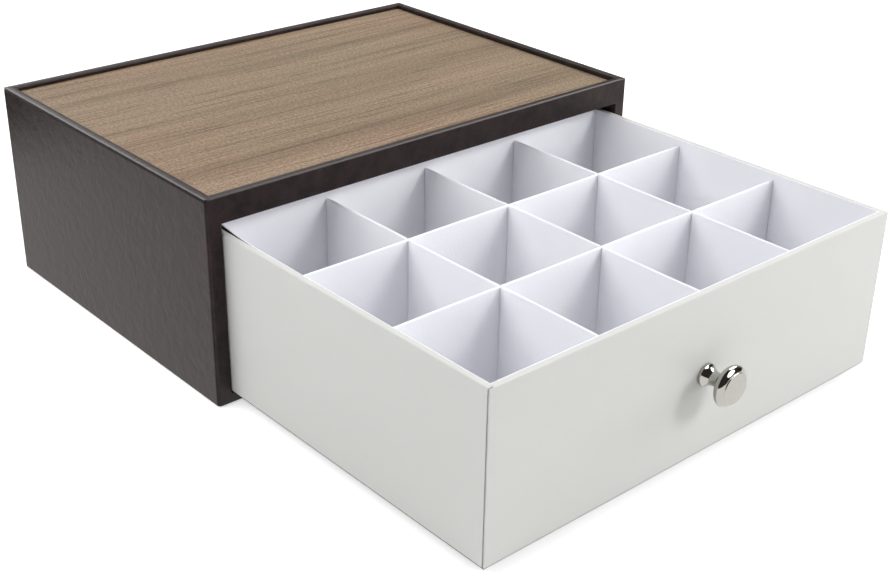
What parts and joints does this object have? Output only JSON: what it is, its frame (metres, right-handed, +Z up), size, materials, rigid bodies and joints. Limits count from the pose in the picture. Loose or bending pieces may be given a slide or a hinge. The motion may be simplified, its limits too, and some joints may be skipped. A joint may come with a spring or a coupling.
{
  "type": "tea bag drawer box",
  "caption": "Table-top sleeve case in dark leatherette with a walnut panel in its top and one white, divided drawer for tea bags, pulled by a polished knob.",
  "frame": {"origin": "on the table, under the middle of the case's footprint", "axes": "+X to the right seen from the front, +Y from front to back, +Z up; the drawer comes out along -Y and stands pulled out at rest, as in the picture"},
  "size_m": [0.32, 0.4577, 0.125],
  "materials": {
    "fibreboard": "raw fibreboard",
    "walnut": "open-pore satin veneer",
    "dark_leatherette": "satin, soft mottled grain",
    "dark_felt": "felt",
    "dark_paper": "matt paper",
    "grey_board": "grey board",
    "white_leatherette": "satin, smooth fine grain",
    "white_paper": "matt papered card",
    "polished_metal": "polished nickel",
    "steel": "zinc plated"
  },
  "bodies": {
    "case": {"case_left_side": "fibreboard", "case_right_side": "fibreboard", "case_back_board": "fibreboard", "case_front_rail": "fibreboard", "case_top_board": "fibreboard", "case_bottom_board": "fibreboard", "walnut_top_panel": "walnut", "case_side_cover": "dark_leatherette", "case_front_cover": "dark_leatherette", "case_base_felt": "dark_felt", "case_wall_lining": "dark_paper", "case_floor_lining": "dark_paper", "case_ceiling_lining": "dark_paper"},
    "drawer": {"drawer_base_sheet": "dark_paper", "drawer_front_board": "grey_board", "drawer_back_board": "grey_board", "drawer_left_board": "grey_board", "drawer_right_board": "grey_board", "drawer_bottom_board": "grey_board", "drawer_side_cover": "white_leatherette", "drawer_front_cover": "white_leatherette", "liner_floor": "white_paper", "liner_front": "white_paper", "liner_back": "white_paper", "liner_left": "white_paper", "liner_right": "white_paper", "divider_long_left": "white_paper", "divider_long_middle": "white_paper", "divider_long_right": "white_paper", "divider_cross_front": "white_paper", "divider_cross_back": "white_paper", "knob": "polished_metal", "knob_screw": "steel"}
  },
  "joints": [
    {"name": "drawer_slide", "type": "slide", "parent": "case", "child": "drawer", "axis": [0, -1, 0], "range_m": [-0.206, 0.0167]}
  ]
}
